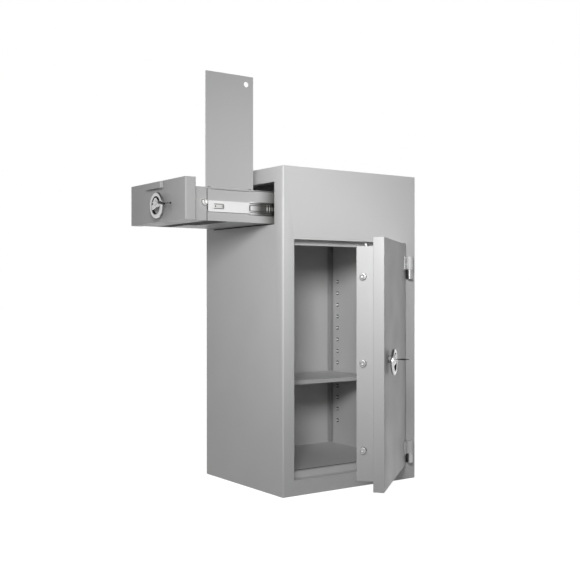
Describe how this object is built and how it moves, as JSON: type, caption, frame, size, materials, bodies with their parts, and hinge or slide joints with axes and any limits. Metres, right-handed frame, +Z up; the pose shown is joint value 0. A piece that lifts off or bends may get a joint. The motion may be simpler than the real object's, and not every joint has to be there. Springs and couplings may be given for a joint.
{
  "type": "drop safe with deposit drawer",
  "caption": "Upright steel drop safe with a hinged door, shelf and boltwork, and a lockable deposit drawer with a lid that slides out of its side.",
  "frame": {"origin": "centre of the cabinet's footprint on the floor", "axes": "+Z up, +Y from the door to the back, +X to the right seen from the front; the drawer slides out along -X"},
  "size_m": [0.9587, 0.8293, 1.3926],
  "materials": {
    "paint": "light grey powder coat, fine satin grain",
    "door_paint": "light grey powder coat, fine satin grain",
    "interior_paint": "light grey powder coat, thin and a little duller",
    "bright_steel": "satin chromed steel",
    "zinc_plate": "bright zinc plated steel",
    "barrier_fill": "rough cast barrier filling"
  },
  "bodies": {
    "cabinet": {"outer_casing": "paint", "base_plate": "paint", "door_frame": "paint", "vault_liner": "interior_paint", "insulation_left": "barrier_fill", "insulation_right": "barrier_fill", "insulation_back": "barrier_fill", "insulation_floor": "barrier_fill", "insulation_header": "barrier_fill", "drawer_deck": "interior_paint", "drop_collar": "interior_paint", "slot_frame": "paint", "shelf": "interior_paint", "shelf_clip_1": "zinc_plate", "shelf_clip_2": "zinc_plate", "shelf_clip_3": "zinc_plate", "shelf_clip_4": "zinc_plate", "hinge_knuckle_upper": "bright_steel", "hinge_knuckle_lower": "bright_steel", "hinge_pin_upper": "bright_steel", "hinge_pin_lower": "bright_steel", "slide_bracket_near": "zinc_plate", "slide_bracket_far": "zinc_plate", "slide_outer_near": "zinc_plate", "slide_outer_far": "zinc_plate"},
    "door": {"door_skin": "door_paint", "door_fill": "barrier_fill", "door_back_plate": "door_paint", "boltwork_case": "paint", "hinge_block_upper": "paint", "hinge_block_lower": "paint", "door_lock_case": "zinc_plate"},
    "door_handle": {"door_ring_handle": "bright_steel", "door_handle_spindle": "bright_steel"},
    "door_bolts": {"bolt_bar": "zinc_plate", "door_bolt_lower": "bright_steel", "door_bolt_middle": "bright_steel", "door_bolt_upper": "bright_steel"},
    "door_top_bolt": {"door_top_bolt": "bright_steel"},
    "door_lock": {"door_lock_plug": "bright_steel"},
    "door_key": {"door_key": "bright_steel"},
    "drawer": {"drawer_front": "door_paint", "drawer_front_fill": "barrier_fill", "drawer_lock_box": "paint", "drawer_tray": "paint", "tray_cover": "paint", "lid_pin": "bright_steel", "drawer_pull": "door_paint", "slide_drawer_near": "zinc_plate", "slide_drawer_far": "zinc_plate", "drawer_lock_case": "zinc_plate"},
    "slide_carriage": {"slide_middle_near": "zinc_plate", "slide_middle_far": "zinc_plate"},
    "lid": {"lid": "paint"},
    "drawer_handle": {"drawer_ring_handle": "bright_steel", "drawer_handle_spindle": "bright_steel"},
    "drawer_bolt_near": {"drawer_bolt_near": "bright_steel"},
    "drawer_bolt_far": {"drawer_bolt_far": "bright_steel"},
    "drawer_lock": {"drawer_lock_plug": "bright_steel"},
    "drawer_key": {"drawer_key": "bright_steel"}
  },
  "joints": [
    {"name": "door_hinge", "type": "hinge", "parent": "cabinet", "child": "door", "pos_m": [0.255, -0.266, 0.45], "axis": [0, 0, 1], "range_deg": [-40.1, 69.9]},
    {"name": "door_handle_turn", "type": "hinge", "parent": "door", "child": "door_handle", "pos_m": [-0.06764, -0.51938, 0.4655], "axis": [0.6441, -0.7649, 0], "range_deg": [0, 90]},
    {"name": "door_bolt_throw", "type": "slide", "parent": "door", "child": "door_bolts", "axis": [-0.7649, -0.6441, 0], "range_m": [0, 0.016]},
    {"name": "door_top_bolt_throw", "type": "slide", "parent": "door", "child": "door_top_bolt", "axis": [0, 0, 1], "range_m": [0, 0.014]},
    {"name": "door_lock_turn", "type": "hinge", "parent": "door", "child": "door_lock", "pos_m": [-0.06764, -0.51938, 0.4655], "axis": [0.6441, -0.7649, 0], "range_deg": [0, 90]},
    {"name": "door_key_pull", "type": "slide", "parent": "door_lock", "child": "door_key", "axis": [0.6441, -0.7649, 0], "range_m": [0, 0.03]},
    {"name": "drawer_slide", "type": "slide", "parent": "cabinet", "child": "drawer", "axis": [1, 0, 0], "range_m": [0, 0.07]},
    {"name": "slide_carriage_run", "type": "slide", "parent": "cabinet", "child": "slide_carriage", "axis": [1, 0, 0], "range_m": [0, 0.035]},
    {"name": "lid_hinge", "type": "hinge", "parent": "drawer", "child": "lid", "pos_m": [-0.455, -0.18075, 1.016], "axis": [-1, 0, 0], "range_deg": [0, 90]},
    {"name": "drawer_handle_turn", "type": "hinge", "parent": "drawer", "child": "drawer_handle", "pos_m": [-0.63, -0.03475, 0.973], "axis": [-1, 0, 0], "range_deg": [0, 90]},
    {"name": "drawer_bolt_near_throw", "type": "slide", "parent": "drawer", "child": "drawer_bolt_near", "axis": [0, -1, 0], "range_m": [0, 0.012]},
    {"name": "drawer_bolt_far_throw", "type": "slide", "parent": "drawer", "child": "drawer_bolt_far", "axis": [0, 1, 0], "range_m": [0, 0.012]},
    {"name": "drawer_lock_turn", "type": "hinge", "parent": "drawer", "child": "drawer_lock", "pos_m": [-0.63, -0.03475, 0.973], "axis": [-1, 0, 0], "range_deg": [0, 90]},
    {"name": "drawer_key_pull", "type": "slide", "parent": "drawer_lock", "child": "drawer_key", "axis": [-1, 0, 0], "range_m": [0, 0.03]}
  ],
  "couplings": [
    {"joint": "door_bolt_throw", "follows": "door_handle_turn", "m_per_rad": 0.010185},
    {"joint": "door_top_bolt_throw", "follows": "door_handle_turn", "m_per_rad": 0.008912},
    {"joint": "slide_carriage_run", "follows": "drawer_slide", "ratio": 0.5},
    {"joint": "drawer_bolt_near_throw", "follows": "drawer_handle_turn", "m_per_rad": 0.007639},
    {"joint": "drawer_bolt_far_throw", "follows": "drawer_handle_turn", "m_per_rad": 0.007639}
  ]
}
